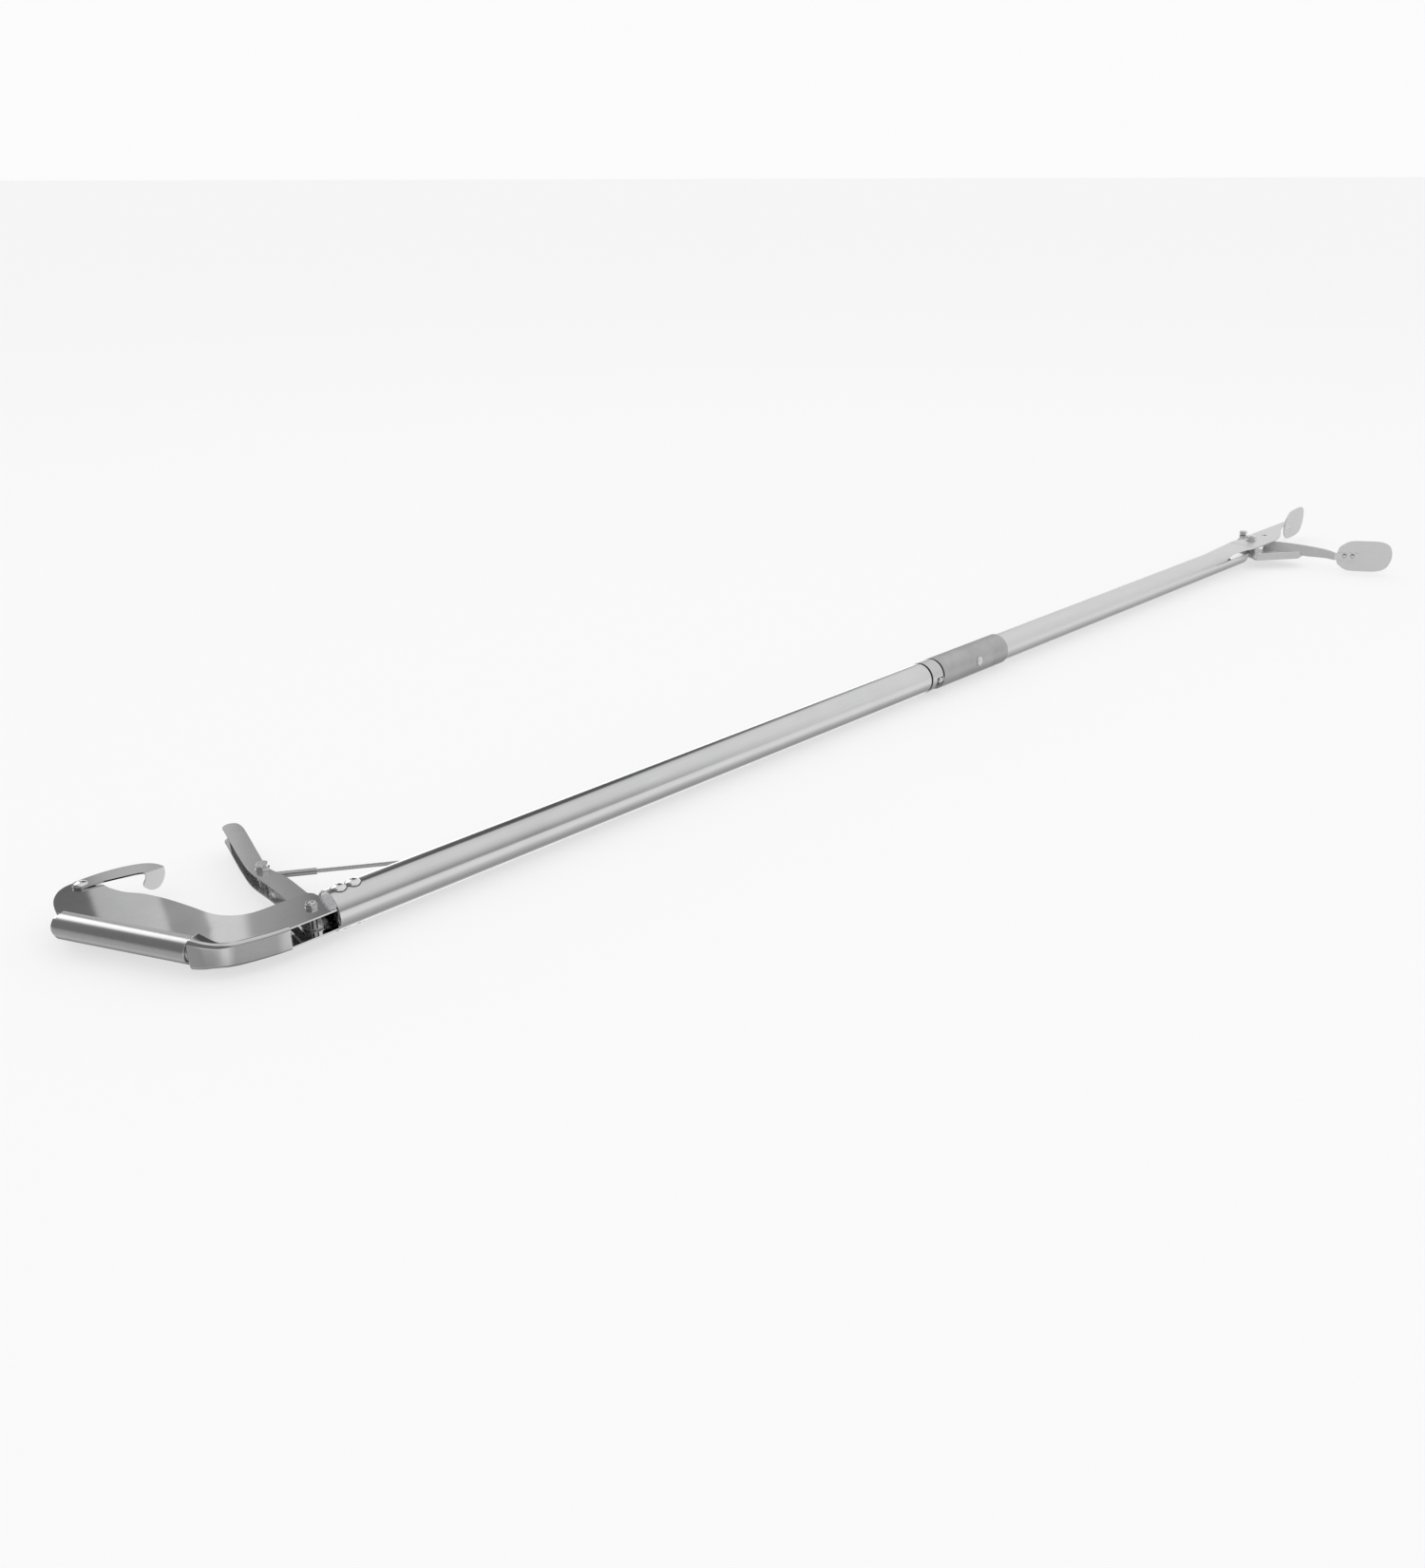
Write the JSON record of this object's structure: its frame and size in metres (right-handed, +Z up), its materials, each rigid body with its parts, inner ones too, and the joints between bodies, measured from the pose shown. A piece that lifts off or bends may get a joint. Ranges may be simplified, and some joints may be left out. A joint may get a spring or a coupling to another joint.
{
  "type": "boat hook",
  "caption": "Long two-section grabbing pole with a pistol-grip trigger, wire-rope pull, twist coupling and a pair of paddle jaws.",
  "frame": {"origin": "on the tube axis, at the rear (handle) end of the rear tube", "axes": "+X along the tube towards the jaws; +Z up, along every pivot bolt, with the pole lying on its side; +Y towards the side where the trigger stands"},
  "size_m": [1.4212, 0.2676, 0.0372],
  "materials": {
    "steel_satin": "satin",
    "steel_bright": "bright",
    "tube": "drawn",
    "sleeve": "matte",
    "rope": "stranded",
    "spring": "drawn wire"
  },
  "bodies": {
    "pole_rear": {"rear_tube": "tube", "handle_frame": "steel_satin", "palm_guard": "steel_satin", "handle_rivets": "steel_bright", "trigger_pivot_bolt": "steel_bright", "trigger_pivot_nut": "steel_bright", "trigger_pivot_washers": "steel_bright", "spigot": "sleeve", "index_ring": "steel_satin", "retaining_ring": "steel_bright"},
    "trigger": {"trigger": "steel_satin", "cable_anchor_bolt": "steel_bright", "cable_anchor_nut": "steel_bright", "cable_anchor_washers": "steel_bright"},
    "rear_link": {"trigger_ferrule": "steel_bright", "trigger_rope": "rope"},
    "cable": {"pull_rope": "rope"},
    "latch": {"latch_hook": "steel_satin", "latch_rivet": "steel_bright", "latch_washer": "steel_bright"},
    "head": {"coupling_sleeve": "sleeve", "index_pin": "steel_bright", "sleeve_rivets": "steel_bright", "front_tube": "tube", "fixed_pad": "steel_bright", "fixed_pad_rivets": "steel_bright", "jaw_pivot_bolt": "steel_bright", "jaw_pivot_nut": "steel_bright", "jaw_pivot_washer": "steel_bright", "jaw_pivot_bush": "steel_bright"},
    "jaw": {"moving_jaw": "steel_satin", "moving_pad": "steel_bright", "moving_pad_rivets": "steel_bright", "jaw_cable_bolt": "steel_bright", "jaw_cable_nut": "steel_bright", "jaw_cable_spacers": "steel_bright", "jaw_spring": "spring"},
    "jaw_link": {"jaw_ferrule": "steel_bright", "jaw_rope": "rope"}
  },
  "joints": [
    {"name": "trigger_squeeze", "type": "hinge", "parent": "pole_rear", "child": "trigger", "pos_m": [-0.0097, 0.0013, 0], "axis": [0, 0, 1], "range_deg": [0, 36]},
    {"name": "rear_rope_swing", "type": "hinge", "parent": "trigger", "child": "rear_link", "pos_m": [-0.0064, 0.0652, 0], "axis": [0, 0, 1], "range_deg": [-24, 0]},
    {"name": "rope_pull", "type": "slide", "parent": "pole_rear", "child": "cable", "axis": [1, 0, 0], "range_m": [-0.031, 0]},
    {"name": "latch_swing", "type": "hinge", "parent": "pole_rear", "child": "latch", "pos_m": [-0.093, 0.1176, 0.0075], "axis": [0, 0, 1], "range_deg": [0, 76]},
    {"name": "head_turn", "type": "hinge", "parent": "pole_rear", "child": "head", "pos_m": [0.566, 0, 0], "axis": [1, 0, 0], "range_deg": [0, 90]},
    {"name": "jaw_close", "type": "hinge", "parent": "head", "child": "jaw", "pos_m": [1.151, 0.0035, 0], "axis": [0, 0, 1], "range_deg": [0, 71]},
    {"name": "jaw_rope_swing", "type": "hinge", "parent": "jaw", "child": "jaw_link", "pos_m": [1.1757, 0.0238, 0.0042], "axis": [0, 0, 1], "range_deg": [-43, 0]}
  ],
  "couplings": [
    {"joint": "rear_rope_swing", "follows": "trigger_squeeze", "ratio": -0.647},
    {"joint": "rope_pull", "follows": "trigger_squeeze", "m_per_rad": -0.04806},
    {"joint": "latch_swing", "follows": "trigger_squeeze", "ratio": 2.1},
    {"joint": "jaw_close", "follows": "trigger_squeeze", "ratio": 1.9444},
    {"joint": "jaw_rope_swing", "follows": "trigger_squeeze", "ratio": -1.156}
  ]
}
